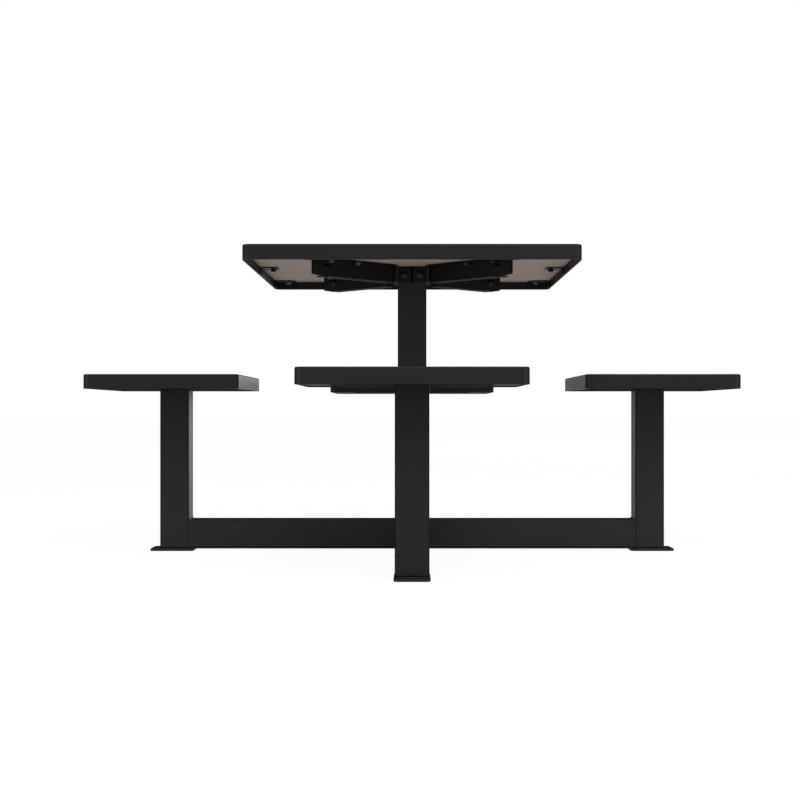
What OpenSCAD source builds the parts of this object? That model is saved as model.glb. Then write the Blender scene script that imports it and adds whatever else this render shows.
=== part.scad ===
// Square picnic table with four fixed seats on a welded tube frame. Millimetres, +Z up,
// origin on the floor under the middle of the table. The front is -Y and the right is +X.

/* [Table top] */
// Side of the square table top
table_side = 800; // [700:5:900]
// Height of the table top above the floor
table_height = 757; // [700:1:800]
// Height of the turned-down rim of the table top
table_rim = 37; // [34:1:50]
// Thickness of the board inside the table top
table_board_t = 12; // [9:0.5:13]

/* [Seats] */
// Width of a seat, along the table's edge
seat_width = 484; // [420:2:540]
// Depth of a seat, from its front edge to its back edge
seat_depth = 384; // [340:2:400]
// Height of a seat above the floor
seat_height = 456; // [420:1:480]
// Height of the turned-down rim of a seat
seat_rim = 36; // [30:1:50]
// Distance from the middle of the table to the middle of a seat
seat_reach = 620; // [600:5:700]

/* [Pressed shells] */
// Thickness of the shells' sheet metal
sheet_t = 3; // [2:0.25:4]
// Outer radius of the shells' corners, seen from above
shell_r = 20; // [12:1:30]
// Gap all round a board inside its shell
board_gap = 0.5; // [0.3:0.1:1]

/* [Tube frame] */
// Outer width of the square tube in every post and bar
tube = 75; // [74:0.5:80]
// Wall of the square tube
tube_wall = 3; // [2.5:0.25:4]
// Outer radius of the tube's corners
tube_r = 4; // [3.5:0.5:8]

/* [Base plates] */
// Thickness of the plates under the posts
base_t = 6; // [5:0.5:10]
// Width of a base plate, across the bar
base_w = 80; // [80:1:100]
// Length of the base plate's ear outside the post
base_ear = 26; // [26:1:40]
// Length of the base plate under the bar
base_tail = 12; // [8:1:40]
// Radius of the base plate's corners
base_r = 10; // [4:1:12]
// Diameter of the anchor hole
anchor_d = 14; // [10:0.5:14]
// Distance from the post to the middle of the anchor hole
anchor_out = 13; // [12:0.5:14]

/* [Seat plates] */
// Width of the plate that carries a seat, along the table's edge
seat_plate_w = 345; // [240:5:380]
// Depth of the plate that carries a seat
seat_plate_d = 300; // [200:5:320]
// Thickness of the plate that carries a seat
seat_plate_t = 3; // [3:0.5:5]
// Radius of that plate's corners
seat_plate_r = 12; // [6:1:20]
// Distance from that plate's edges to its screws
seat_screw_in = 22; // [16:1:30]

/* [Arms under the table] */
// Thickness of an arm's pressed plate
arm_t = 3; // [2.5:0.25:3.5]
// Height of an arm
arm_h = 45; // [44:1:50]
// Length of an arm from the post's corner to its tip
arm_len = 294; // [280:2:340]
// Angle that each of an arm's two plates turns away from the diagonal
arm_spread = 0; // [0:0.25:2.5]
// Distance of each of an arm's two plates from the diagonal at the post's corner
arm_offset = 1.5; // [1:0.25:2]
// Width of the top lip, which is screwed to the board
top_lip = 28; // [24:1:32]
// Width of the bottom lip
bottom_lip = 10; // [6:1:14]
// Distance from the post's corner to the start of both lips
lip_start = 30; // [24:1:50]
// Height of the corner cut off the tip
tip_cut_h = 6; // [4:1:12]
// Length of the corner cut off the tip
tip_cut_len = 38; // [10:1:50]
// Distance from the top of an arm to the top of its root flange
root_drop = 3; // [2:1:7]
// Distance from the bottom of an arm to the bottom of its root flange
root_rise = 3; // [2:0.5:5]
// Gap between the root flanges of neighbouring arms on one face of the post
root_gap = 5; // [2:0.5:6]
// Distance from the post's corner to an arm's inner board screws
inner_screw_at = 160; // [120:1:200]
// Distance from the post's corner to an arm's outer board screws and tie bolt
outer_screw_at = 250; // [225:1:260]
// Depth of the arms' bolts below the board
bolt_drop = 21; // [20:0.5:24]

/* [Board clips] */
// Thickness of a clip
clip_t = 3; // [2:0.25:3.5]
// Width of a clip along the rim
clip_w = 60; // [50:1:80]
// Reach of a side clip from the rim
clip_reach = 45; // [44:1:60]
// Height of a clip's leg against the rim
clip_leg = 19; // [12:1:20]
// Length of each edge of a corner clip beside its cut corner
clip_edge = 45; // [44:1:50]
// Distance from the rim to the screw of a side clip
side_screw_in = 32; // [28:1:34]
// Distance from both rims to the screw of a corner clip
corner_screw_in = 39; // [28:1:39]

/* [Fasteners] */
// Diameter of the bolts' shanks
bolt_d = 8; // [6:0.5:8]
// Diameter of the bolts' domed heads
bolt_head_d = 20; // [16:0.5:20]
// Height of the bolts' domed heads
bolt_head_h = 4.4; // [3:0.2:5]
// Width of the nuts across their flats
nut_w = 13; // [12:0.5:14]
// Thickness of the nuts
nut_t = 6.5; // [5:0.5:7]
// Clearance between a bolt and its hole
bolt_gap = 0.5; // [0.3:0.1:1]
// Outer diameter of the spacers between an arm's two plates
spacer_d = 16; // [12:1:18]
// Diameter of the board screws' shanks
screw_d = 5; // [4:0.25:5.5]
// Width of the board screws' hexagon heads across their flats
screw_hex_w = 13; // [10:0.5:14]
// Height of the board screws' hexagon heads
screw_hex_h = 5.5; // [4:0.25:6]
// Diameter of the flange under the board screws' heads
screw_flange_d = 18; // [16:0.5:20]
// Thickness of that flange
screw_flange_t = 1.5; // [1:0.25:2]
// Depth of the board screws inside a board
screw_depth = 8; // [6:0.5:8.5]
// Clearance all round a screw's shank
screw_gap = 0.2; // [0.1:0.05:0.4]
// Diameter of the seat screws' countersunk heads
seat_screw_head_d = 10; // [8:0.5:12]

/* [Hidden] */
$fn = 48;

// Colours of the finishes
coat = [0.16, 0.16, 0.17];
coat_light = [0.22, 0.22, 0.23];
board_brown = [0.48, 0.44, 0.41];
board_black = [0.13, 0.13, 0.13];
zinc = [0.72, 0.73, 0.74];
black_zinc = [0.1, 0.1, 0.1];

// Directions of the four sides, as turns from +X
FRONT = -90;
RIGHT = 0;
BACK = 90;
LEFT = 180;
SIDES = [FRONT, RIGHT, BACK, LEFT];
// Signs of the four corners
CORNERS = [[-1, -1], [1, -1], [-1, 1], [1, 1]];

// How far a cutting tool runs past what it cuts
past = 1;
// Levels of the table top
board_z = table_height - sheet_t - table_board_t;
table_rim_z = table_height - table_rim;
// Levels of a seat: its plate lies flush with the bottom of the rim
seat_rim_z = seat_height - seat_rim;
seat_board_z = seat_rim_z + seat_plate_t;
seat_board_t = seat_rim - sheet_t - seat_plate_t;
// Inner sizes of the shells
inner_r = shell_r - sheet_t;
rim_in = table_side / 2 - sheet_t;
// The tube frame
half_tube = tube / 2;
bar_len = seat_reach - tube;
// Root of an arm: the fold lies where its plate leaves the post's face
arm_z = board_z - arm_h;
arm_dir = 45 + arm_spread;
fold_x = half_tube - arm_offset * sqrt(2);
root_h = arm_h - root_drop;
// Bolts at the root: the nuts of neighbouring faces clear each other inside the post
nut_clear = 0.5;
root_bolt_x = half_tube - tube_wall - nut_t - nut_w / 2 - nut_clear;
bolt_z = board_z - bolt_drop;
// Thread that shows past a nut
thread_past = 1;
// The tie bolt runs square to the diagonal, at this distance from the middle of the table
corner_out = (half_tube + fold_x) / sqrt(2);
tie_out = corner_out + outer_screw_at;
tie_inner = arm_offset + outer_screw_at * tan(arm_spread);
tie_outer = tie_inner + arm_t / cos(arm_spread);
head_lean = bolt_head_d / 2 * tan(arm_spread);
nut_lean = nut_w / sqrt(3) * tan(arm_spread);
spacer_lean = spacer_d / 2 * tan(arm_spread);

// Flat outline of a rectangle with round corners, about the origin
module round_rect(x, y, r) {
    square([x - 2 * r, y], center = true);
    square([x, y - 2 * r], center = true);
    for (sx = [-1, 1], sy = [-1, 1])
        translate([sx * (x / 2 - r), sy * (y / 2 - r)]) circle(r);
}

// Shape of a sheet pan, open below
module pan(x, y, h) {
    difference() {
        linear_extrude(h) round_rect(x, y, shell_r);
        translate([0, 0, -past])
            linear_extrude(h - sheet_t + past) round_rect(x - 2 * sheet_t, y - 2 * sheet_t, inner_r);
    }
}

// Board that fits a pan of this size
module board_blank(x, y, t) {
    inset = sheet_t + board_gap;
    linear_extrude(t) round_rect(x - 2 * inset, y - 2 * inset, shell_r - inset);
}

// Hollow square tube standing on z = 0
module tube_blank(length) {
    difference() {
        linear_extrude(length) round_rect(tube, tube, tube_r);
        translate([0, 0, -past])
            linear_extrude(length + 2 * past)
                round_rect(tube - 2 * tube_wall, tube - 2 * tube_wall, tube_r - tube_wall);
    }
}

// Puts its children at one corner, given for the +X +Y corner
module at_corner(sx, sy) {
    mirror([sx < 0 ? 1 : 0, 0, 0]) mirror([0, sy < 0 ? 1 : 0, 0]) children();
}

// Point on an arm's plate, this far along its inner face and this far outside it, in plan
function arm_point(along, out) = [
    fold_x + along * cos(arm_dir) - out * sin(arm_dir),
    half_tube + along * sin(arm_dir) + out * cos(arm_dir)
];

// Puts its children at each place of an arm's board screws, for the plate beside the +Y face
module at_arm_screws() {
    for (along = [inner_screw_at, outer_screw_at])
        translate(concat(arm_point(along, arm_t + top_lip / 2), board_z)) children();
}

// Puts its children at every board screw of all eight arm plates
module at_all_arm_screws() {
    for (c = CORNERS) at_corner(c[0], c[1]) {
        at_arm_screws() children();
        mirror([1, -1, 0]) at_arm_screws() children();
    }
}

// Puts its children at every side clip's screw
module at_side_screws() {
    for (a = SIDES) rotate(a) translate([rim_in - side_screw_in, 0, board_z]) children();
}

// Puts its children at every corner clip's screw
module at_corner_screws() {
    at = rim_in - corner_screw_in;
    for (c = CORNERS) translate([c[0] * at, c[1] * at, board_z]) children();
}

// Puts its children at the four screws of one seat, given for the +X seat
module at_seat_screws() {
    for (sx = [-1, 1], sy = [-1, 1])
        translate([seat_reach + sx * (seat_plate_d / 2 - seat_screw_in),
                   sy * (seat_plate_w / 2 - seat_screw_in), seat_board_z]) children();
}

// Blind hole in a board for a screw from below
module pilot_hole() {
    translate([0, 0, -past]) cylinder(h = screw_depth + screw_gap + past, d = screw_d + 2 * screw_gap);
}

// Hole for a screw through a plate of this thickness, whose top is at z = 0
module screw_hole(t) {
    translate([0, 0, -t - past]) cylinder(h = t + 2 * past, d = screw_d + 2 * screw_gap);
}

// Screw from below: a flanged hexagon head under a plate of this thickness, the shank up into the board
module board_screw(t) {
    translate([0, 0, -t]) cylinder(h = t + screw_depth, d = screw_d);
    translate([0, 0, -t - screw_flange_t]) cylinder(h = screw_flange_t, d = screw_flange_d);
    translate([0, 0, -t - screw_flange_t - screw_hex_h])
        cylinder(h = screw_hex_h, d = screw_hex_w / cos(30), $fn = 6);
}

// Domed bolt head standing on z = 0, as the cap of a sphere
module dome_head() {
    ball_r = (pow(bolt_head_d / 2, 2) + pow(bolt_head_h, 2)) / (2 * bolt_head_h);
    intersection() {
        translate([0, 0, bolt_head_h - ball_r]) sphere(ball_r);
        cylinder(h = bolt_head_h + past, d = bolt_head_d);
    }
}

// Nut standing on z = 0, with two flats square to X
module nut_blank() {
    difference() {
        rotate(30) cylinder(h = nut_t, d = nut_w / cos(30), $fn = 6);
        translate([0, 0, -past]) cylinder(h = nut_t + 2 * past, d = bolt_d + 2 * screw_gap);
    }
}

module table_shell() {
    color(coat) translate([0, 0, table_rim_z]) pan(table_side, table_side, table_rim);
}

module table_board() {
    color(board_brown) difference() {
        translate([0, 0, board_z]) board_blank(table_side, table_side, table_board_t);
        at_all_arm_screws() pilot_hole();
        at_side_screws() pilot_hole();
        at_corner_screws() pilot_hole();
    }
}

// Angle clip against the middle of one side of the rim
module side_clip(angle) {
    color(coat) rotate(angle) difference() {
        translate([rim_in, 0, board_z]) {
            translate([-clip_reach, -clip_w / 2, -clip_t]) cube([clip_reach, clip_w, clip_t]);
            translate([-clip_t, -clip_w / 2, -clip_leg]) cube([clip_t, clip_w, clip_leg]);
        }
        translate([rim_in - side_screw_in, 0, board_z]) screw_hole(clip_t);
    }
}

// Corner clip with a leg along both sides of the rim
module corner_clip(sx, sy) {
    far = rim_in;
    near = rim_in - clip_w;
    cut = rim_in - clip_edge;
    color(coat) at_corner(sx, sy) difference() {
        union() {
            translate([0, 0, board_z - clip_t]) linear_extrude(clip_t) intersection() {
                round_rect(2 * rim_in, 2 * rim_in, inner_r);
                polygon([[far, near], [far, far], [near, far], [near, cut], [cut, near]]);
            }
            translate([0, 0, board_z - clip_leg]) linear_extrude(clip_leg) intersection() {
                difference() {
                    round_rect(2 * rim_in, 2 * rim_in, inner_r);
                    round_rect(2 * rim_in - 2 * clip_t, 2 * rim_in - 2 * clip_t, inner_r - clip_t);
                }
                translate([near, near]) square(clip_w);
            }
        }
        translate([rim_in - corner_screw_in, rim_in - corner_screw_in, board_z]) screw_hole(clip_t);
    }
}

module side_clip_screws() {
    color(black_zinc) at_side_screws() board_screw(clip_t);
}

module corner_clip_screws() {
    color(zinc) at_corner_screws() board_screw(clip_t);
}

// Strip in plan beside an arm's web, from the start of the lips to this end and of this width
module lip_outline(end, width) {
    edge = arm_t + width;
    polygon([arm_point(lip_start, arm_t / 2), arm_point(end, arm_t / 2), arm_point(end, edge),
             arm_point(lip_start, edge)]);
}

// Puts its children at an arm's fold, with +X along its web and z = 0 at its bottom
module at_fold() {
    translate([fold_x, half_tube, arm_z]) rotate(arm_dir) children();
}

// One pressed plate of an arm, given for the plate bolted to the +Y face of the post
module arm_plate_blank() {
    bend = arm_t * tan(arm_dir / 2);
    root_end = lip_start - arm_t;
    lip_end = arm_len - tip_cut_len - arm_t;
    slope = tip_cut_h / tip_cut_len;
    cut_start = arm_len - tip_cut_len - past / slope;
    difference() {
        union() {
            // Root flange against the post, and web
            translate([0, 0, arm_z]) linear_extrude(arm_h)
                polygon([[root_gap / 2, half_tube], [fold_x, half_tube], arm_point(arm_len + past, 0),
                         arm_point(arm_len + past, arm_t), [fold_x - bend, half_tube + arm_t],
                         [root_gap / 2, half_tube + arm_t]]);
            // Top and bottom lips
            translate([0, 0, board_z - arm_t]) linear_extrude(arm_t) lip_outline(arm_len + 2 * past, top_lip);
            translate([0, 0, arm_z]) linear_extrude(arm_t) lip_outline(lip_end, bottom_lip);
        }
        // Above the root flange
        translate([0, half_tube - past, arm_z + root_h])
            cube([fold_x - bend - past, arm_t + 2 * past, root_drop + past]);
        // Below the root flange and the web beside it
        translate([0, 0, arm_z - past]) linear_extrude(past + root_rise)
            polygon([[0, half_tube - past], [fold_x, half_tube - past], arm_point(root_end, -past),
                     arm_point(root_end, arm_t + past), [fold_x - bend, half_tube + arm_t + past],
                     [0, half_tube + arm_t + past]]);
        // Past the tip
        at_fold() translate([arm_len, -past, -past])
            cube([3 * past, top_lip + arm_t + 2 * past, arm_h + 2 * past]);
        // Lower corner of the tip
        at_fold() translate([0, arm_t + past, 0]) rotate([90, 0, 0]) linear_extrude(arm_t + 2 * past)
            polygon([[cut_start, -past], [arm_len + past, -past],
                     [arm_len + past, tip_cut_h + past * slope]]);
    }
}

// One arm plate with its holes, given for the plate bolted to the +Y face of the post
module arm_plate() {
    hole_d = bolt_d + 2 * bolt_gap;
    difference() {
        arm_plate_blank();
        at_arm_screws() screw_hole(arm_t);
        translate([root_bolt_x, half_tube - past, bolt_z]) rotate([-90, 0, 0])
            cylinder(h = arm_t + 2 * past, d = hole_d);
        rotate(45) translate([tie_out, 0, bolt_z]) rotate([-90, 0, 0])
            cylinder(h = tie_outer + past, d = hole_d);
    }
}

// Arm plate bolted to the front or back face of the post
module face_plate(sx, sy) {
    color(coat_light) at_corner(sx, sy) arm_plate();
}

// Arm plate bolted to the left or right face of the post
module side_plate(sx, sy) {
    color(coat_light) at_corner(sx, sy) mirror([1, -1, 0]) arm_plate();
}

module arm_board_screws() {
    color(zinc) at_all_arm_screws() board_screw(arm_t);
}

// Puts its children at each root bolt, on the post's face and with +Z outwards
module at_root_bolts() {
    for (a = SIDES, side = [-1, 1])
        rotate(a) translate([half_tube, side * root_bolt_x, bolt_z]) rotate([0, 90, 0]) children();
}

module arm_post_bolts() {
    inside = tube_wall + nut_t + thread_past;
    color(black_zinc) at_root_bolts() {
        translate([0, 0, arm_t]) dome_head();
        translate([0, 0, -inside]) cylinder(h = inside + arm_t, d = bolt_d);
    }
}

module arm_post_nuts() {
    color(zinc) at_root_bolts() translate([0, 0, -tube_wall - nut_t]) rotate(90) nut_blank();
}

// Puts its children at each tie bolt, with +Z along the bolt towards its head
module at_tie_bolts() {
    for (c = CORNERS)
        at_corner(c[0], c[1]) rotate(45) translate([tie_out, 0, bolt_z])
            rotate([c[1] < 0 ? -90 : 90, 0, 0]) children();
}

module arm_tie_bolts() {
    head_at = tie_outer + head_lean;
    tip_at = tie_outer + nut_lean + nut_t + thread_past;
    color(black_zinc) at_tie_bolts() {
        translate([0, 0, head_at]) dome_head();
        translate([0, 0, -tip_at]) cylinder(h = tip_at + head_at, d = bolt_d);
    }
}

module arm_tie_nuts() {
    color(zinc) at_tie_bolts() translate([0, 0, -tie_outer - nut_lean - nut_t]) nut_blank();
}

module arm_spacers() {
    half = tie_inner - spacer_lean;
    color(zinc) at_tie_bolts() translate([0, 0, -half]) difference() {
        cylinder(h = 2 * half, d = spacer_d);
        translate([0, 0, -past]) cylinder(h = 2 * half + 2 * past, d = bolt_d + 2 * screw_gap);
    }
}

module centre_post() {
    color(coat) difference() {
        translate([0, 0, base_t]) tube_blank(board_z - base_t);
        at_root_bolts() translate([0, 0, -tube_wall - past])
            cylinder(h = tube_wall + 2 * past, d = bolt_d + 2 * bolt_gap);
    }
}

module centre_base_plate() {
    color(coat) linear_extrude(base_t) round_rect(tube, tube, tube_r);
}

// Floor bar from the centre post to one seat's post
module floor_bar(angle) {
    color(coat) rotate(angle) translate([half_tube, 0, base_t + half_tube])
        rotate([0, 90, 0]) tube_blank(bar_len);
}

// Post of one seat
module seat_post(angle) {
    color(coat) rotate(angle) translate([seat_reach, 0, base_t]) tube_blank(seat_rim_z - base_t);
}

// Plate under a seat's post, with an ear outside it for the anchor
module base_plate(angle) {
    length = base_tail + tube + base_ear;
    middle = seat_reach + (base_ear - base_tail) / 2;
    color(coat) rotate(angle) difference() {
        translate([middle, 0, 0]) linear_extrude(base_t) round_rect(length, base_w, base_r);
        translate([seat_reach + half_tube + anchor_out, 0, -past])
            cylinder(h = base_t + 2 * past, d = anchor_d);
    }
}

// Plate that carries a seat, welded on its post, with countersunk screw holes
module seat_plate(angle) {
    sink_d = seat_screw_head_d + 2 * screw_gap;
    color(coat) rotate(angle) difference() {
        translate([seat_reach, 0, seat_rim_z])
            linear_extrude(seat_plate_t) round_rect(seat_plate_d, seat_plate_w, seat_plate_r);
        at_seat_screws() {
            screw_hole(seat_plate_t);
            translate([0, 0, -seat_plate_t - past]) cylinder(h = past, d = sink_d);
            translate([0, 0, -seat_plate_t])
                cylinder(h = seat_plate_t, d1 = sink_d, d2 = screw_d + 2 * screw_gap);
        }
    }
}

module seat_board(angle) {
    color(board_black) rotate(angle) difference() {
        translate([seat_reach, 0, seat_board_z]) board_blank(seat_depth, seat_width, seat_board_t);
        at_seat_screws() pilot_hole();
    }
}

module seat_shell(angle) {
    color(coat) rotate(angle) translate([seat_reach, 0, seat_rim_z]) pan(seat_depth, seat_width, seat_rim);
}

module seat_screws() {
    color(black_zinc) for (a = SIDES) rotate(a) at_seat_screws() {
        cylinder(h = screw_depth, d = screw_d);
        translate([0, 0, -seat_plate_t]) cylinder(h = seat_plate_t, d1 = seat_screw_head_d, d2 = screw_d);
    }
}

table_shell();
table_board();
side_clip(FRONT);  // front_clip
side_clip(RIGHT);  // right_clip
side_clip(BACK);  // back_clip
side_clip(LEFT);  // left_clip
corner_clip(-1, -1);  // front_left_clip
corner_clip(1, -1);  // front_right_clip
corner_clip(-1, 1);  // back_left_clip
corner_clip(1, 1);  // back_right_clip
side_clip_screws();
corner_clip_screws();
face_plate(-1, -1);  // front_left_arm_front_plate
side_plate(-1, -1);  // front_left_arm_side_plate
face_plate(1, -1);  // front_right_arm_front_plate
side_plate(1, -1);  // front_right_arm_side_plate
face_plate(-1, 1);  // back_left_arm_back_plate
side_plate(-1, 1);  // back_left_arm_side_plate
face_plate(1, 1);  // back_right_arm_back_plate
side_plate(1, 1);  // back_right_arm_side_plate
arm_board_screws();
arm_post_bolts();
arm_post_nuts();
arm_tie_bolts();
arm_tie_nuts();
arm_spacers();
centre_post();
centre_base_plate();
floor_bar(FRONT);  // front_bar
floor_bar(RIGHT);  // right_bar
floor_bar(BACK);  // back_bar
floor_bar(LEFT);  // left_bar
seat_post(FRONT);  // front_post
seat_post(RIGHT);  // right_post
seat_post(BACK);  // back_post
seat_post(LEFT);  // left_post
base_plate(FRONT);  // front_base_plate
base_plate(RIGHT);  // right_base_plate
base_plate(BACK);  // back_base_plate
base_plate(LEFT);  // left_base_plate
seat_plate(FRONT);  // front_seat_plate
seat_plate(RIGHT);  // right_seat_plate
seat_plate(BACK);  // back_seat_plate
seat_plate(LEFT);  // left_seat_plate
seat_board(FRONT);  // front_seat_board
seat_board(RIGHT);  // right_seat_board
seat_board(BACK);  // back_seat_board
seat_board(LEFT);  // left_seat_board
seat_shell(FRONT);  // front_seat_shell
seat_shell(RIGHT);  // right_seat_shell
seat_shell(BACK);  // back_seat_shell
seat_shell(LEFT);  // left_seat_shell
seat_screws();
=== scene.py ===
"""Looks of a square picnic table with four fixed seats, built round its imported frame.

The frame gives each piece its place. The pressed sheet parts and the fasteners are built here with their
folds, rounded edges and chamfers. The tubes and plates keep the frame's shapes with softened edges, and weld
beads join the tubes. Metres, +Z up, the front is -Y.
"""

from __future__ import annotations

import logging
import math
from collections.abc import Callable, Iterable, Sequence
from dataclasses import dataclass
from enum import Enum

import bmesh
import bpy
from mathutils import Matrix, Vector

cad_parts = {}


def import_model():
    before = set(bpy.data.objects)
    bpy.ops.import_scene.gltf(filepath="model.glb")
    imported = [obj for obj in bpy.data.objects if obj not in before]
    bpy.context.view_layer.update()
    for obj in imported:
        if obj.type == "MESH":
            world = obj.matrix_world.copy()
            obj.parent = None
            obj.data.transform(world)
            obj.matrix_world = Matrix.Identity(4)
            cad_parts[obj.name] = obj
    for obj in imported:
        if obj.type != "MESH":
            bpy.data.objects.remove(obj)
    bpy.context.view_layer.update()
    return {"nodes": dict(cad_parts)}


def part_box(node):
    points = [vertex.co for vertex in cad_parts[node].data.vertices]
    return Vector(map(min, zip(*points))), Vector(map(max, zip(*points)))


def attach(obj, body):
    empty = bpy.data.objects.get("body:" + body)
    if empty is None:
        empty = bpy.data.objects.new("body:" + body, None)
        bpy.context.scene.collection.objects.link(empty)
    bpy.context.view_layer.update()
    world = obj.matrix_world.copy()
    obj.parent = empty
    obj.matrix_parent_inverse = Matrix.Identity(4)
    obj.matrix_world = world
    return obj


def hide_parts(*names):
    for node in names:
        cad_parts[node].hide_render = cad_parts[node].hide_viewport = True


LOG = logging.getLogger("picnic_table")
MM = 0.001
BODY = "root"
# Points closer than MERGE become one, and places closer than NEAR count as the same.
MERGE = 0.001 * MM
NEAR = 0.01 * MM
# Edges that turn more than SHARP stay sharp in the shading, and faces that turn less than FLAT become one.
SHARP = math.radians(35.0)
FLAT = math.radians(0.5)
# Half the width of the posts and bars, and how far from the table's middle the seats' posts stand.
TUBE_HALF = 37.5 * MM
REACH = 620.0 * MM

BMesh = bmesh.types.BMesh
BMEdge = bmesh.types.BMEdge
BMFace = bmesh.types.BMFace
Triple = tuple[float, float, float]
Colour = Triple
Span = tuple[float, float]


def linear(*levels: int) -> Colour:
    """Scene-linear colour of a display colour, whose red, green and blue are 0 to 255."""
    shares = (level / 255 for level in levels)
    return tuple(s / 12.92 if s <= 0.04045 else ((s + 0.055) / 1.055) ** 2.4 for s in shares)


class Spot(Enum):
    """A side or corner of the table, which its nodes are named for."""

    @property
    def word(self) -> str:
        """The spot's name as the nodes spell it."""
        return self.name.lower()


class Side(Spot):
    """Sides of the table, each with its turn from +X in degrees."""

    FRONT = -90
    RIGHT = 0
    BACK = 90
    LEFT = 180

    @property
    def turn(self) -> Matrix:
        """Rotation that takes the +X side to this side."""
        return Matrix.Rotation(math.radians(self.value), 4, "Z")


class Corner(Spot):
    """Corners of the table, each with the signs of its X and Y."""

    FRONT_LEFT = (-1, -1)
    FRONT_RIGHT = (1, -1)
    BACK_LEFT = (-1, 1)
    BACK_RIGHT = (1, 1)

    @property
    def flip(self) -> Matrix:
        """Mirror that takes the +X +Y corner to this corner."""
        return Matrix.Diagonal((*self.value, 1, 1))


def operator(operation: str, swapped: bool = False) -> Callable[..., Value]:
    """Makes a method of Value that adds a Math node.

    Args:
        operation: The node's operation.
        swapped: Whether the other value comes first.

    Returns:
        The method.
    """

    def method(self: Value, other: Value | float = 0.0) -> Value:
        """Result of the operation on this value and another."""
        pair = (other, self) if swapped else (self, other)
        return self.shader.maths(operation, *pair)

    return method


class Value:
    """Output of a shader node, whose arithmetic is written as Python expressions.

    larger and smaller choose between two values; above, below and between give 1 where they hold, else 0.
    """

    def __init__(self, shader: Shader, socket: bpy.types.NodeSocket) -> None:
        """Wraps an output socket of one of the shader's nodes."""
        self.shader = shader
        self.socket = socket

    __add__ = __radd__ = operator("ADD")
    __sub__ = operator("SUBTRACT")
    __rsub__ = operator("SUBTRACT", swapped=True)
    __mul__ = __rmul__ = operator("MULTIPLY")
    __pow__ = operator("POWER")
    __abs__ = operator("ABSOLUTE")
    larger = operator("MAXIMUM")
    smaller = operator("MINIMUM")
    above = operator("GREATER_THAN")
    below = operator("LESS_THAN")

    def between(self, low: float, high: float) -> Value:
        """Whether this value lies between two numbers."""
        return self.above(low) * self.below(high)


class Shader:
    """Node tree of a material or a world, built with a few plain calls."""

    def __init__(self, owner: bpy.types.Material | bpy.types.World) -> None:
        """Empties the owner's node tree.

        Args:
            owner: The material or world to build.
        """
        owner.use_nodes = True
        self.tree = owner.node_tree
        self.tree.nodes.clear()

    def node(self, kind: str, settings: dict | None = None, inputs: dict | None = None) -> bpy.types.Node:
        """Adds a node.

        Args:
            kind: The node's type.
            settings: Its settings by name; "stops" gives a ramp's positions and colours.
            inputs: Values or links of its sockets, by name or index.

        Returns:
            The new node.
        """
        made = self.tree.nodes.new(kind)
        for key, value in (settings or {}).items():
            if key == "stops":
                for element, (position, colour) in zip(made.color_ramp.elements, value):
                    element.position = position
                    element.color = (*colour, 1.0)
            else:
                setattr(made, key, value)
        for key, value in (inputs or {}).items():
            if isinstance(value, Value):
                self.tree.links.new(value.socket, made.inputs[key])
            elif isinstance(value, tuple) and len(value) == 3 and made.inputs[key].type == "RGBA":
                made.inputs[key].default_value = (*value, 1.0)
            else:
                made.inputs[key].default_value = value
        return made

    def out(self, node: bpy.types.Node, key: str | int = 0) -> Value:
        """One output of a node, as a value."""
        return Value(self, node.outputs[key])

    def maths(self, operation: str, first: Value | float, second: Value | float) -> Value:
        """Result of a Math node."""
        return self.out(self.node("ShaderNodeMath", {"operation": operation}, {0: first, 1: second}))

    def place(self) -> Value:
        """Position on the object, in metres."""
        return self.out(self.node("ShaderNodeTexCoord"), "Object")

    def axes(self, vector: Value) -> tuple[Value, ...]:
        """The X, Y and Z of a position or direction."""
        parts = self.node("ShaderNodeSeparateXYZ", {}, {0: vector})
        return tuple(self.out(parts, axis) for axis in "XYZ")

    def offsets(self, place: Value) -> tuple[Value, Value, Value]:
        """A position's distances from the table's two middle planes, and its height."""
        x, y, z = self.axes(place)
        return abs(x), abs(y), z

    def stretched(self, place: Value, scale: Triple) -> Value:
        """A position with each axis scaled."""
        return self.out(self.node("ShaderNodeMapping", {}, {"Vector": place, "Scale": scale}))

    def noise(self, place: Value, size: float, detail: float = 2.0) -> Value:
        """Smooth noise between 0 and 1, with blobs of a size in metres and octaves of finer detail."""
        inputs = {"Vector": place, "Scale": 1 / size, "Detail": detail}
        return self.out(self.node("ShaderNodeTexNoise", {}, inputs))

    def rise(self, value: Value, start: float, end: float) -> Value:
        """Eased step of a value, 0 up to its start and 1 from its end."""
        inputs = {"Value": value, "From Min": start, "From Max": end}
        return self.out(self.node("ShaderNodeMapRange", {"interpolation_type": "SMOOTHSTEP"}, inputs))

    def blend(self, share: Value, first: Value | Colour, second: Value | Colour) -> Value:
        """Mix of two colours, by the share of the second."""
        mix = self.node("ShaderNodeMix", {"data_type": "RGBA"}, {0: share, 6: first, 7: second})
        return self.out(mix, 2)

    def bump(self, height: Value, depth: float, strength: float) -> Value:
        """Normal bent by a height of 0 to 1, which is depth metres at 1 and counts by its strength."""
        inputs = {"Height": height, "Distance": depth, "Strength": strength}
        return self.out(self.node("ShaderNodeBump", {}, inputs), "Normal")

    def mix(self, share: Value, first: bpy.types.Node, second: bpy.types.Node) -> bpy.types.Node:
        """Mix of two shaders, by the share of the second."""
        return self.node("ShaderNodeMixShader", {}, {0: share, 1: self.out(first), 2: self.out(second)})

    def close(self, shader: bpy.types.Node, kind: str = "ShaderNodeOutputMaterial") -> None:
        """Sends a shader node to the tree's output."""
        self.node(kind, {}, {"Surface": self.out(shader)})


def new_material(name: str) -> tuple[bpy.types.Material, Shader]:
    """A new material and its empty shader."""
    material = bpy.data.materials.new(name)
    return material, Shader(material)


@dataclass(frozen=True)
class Finish:
    """A material and the record's slot that it shows."""

    material: bpy.types.Material
    slot: str


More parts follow.
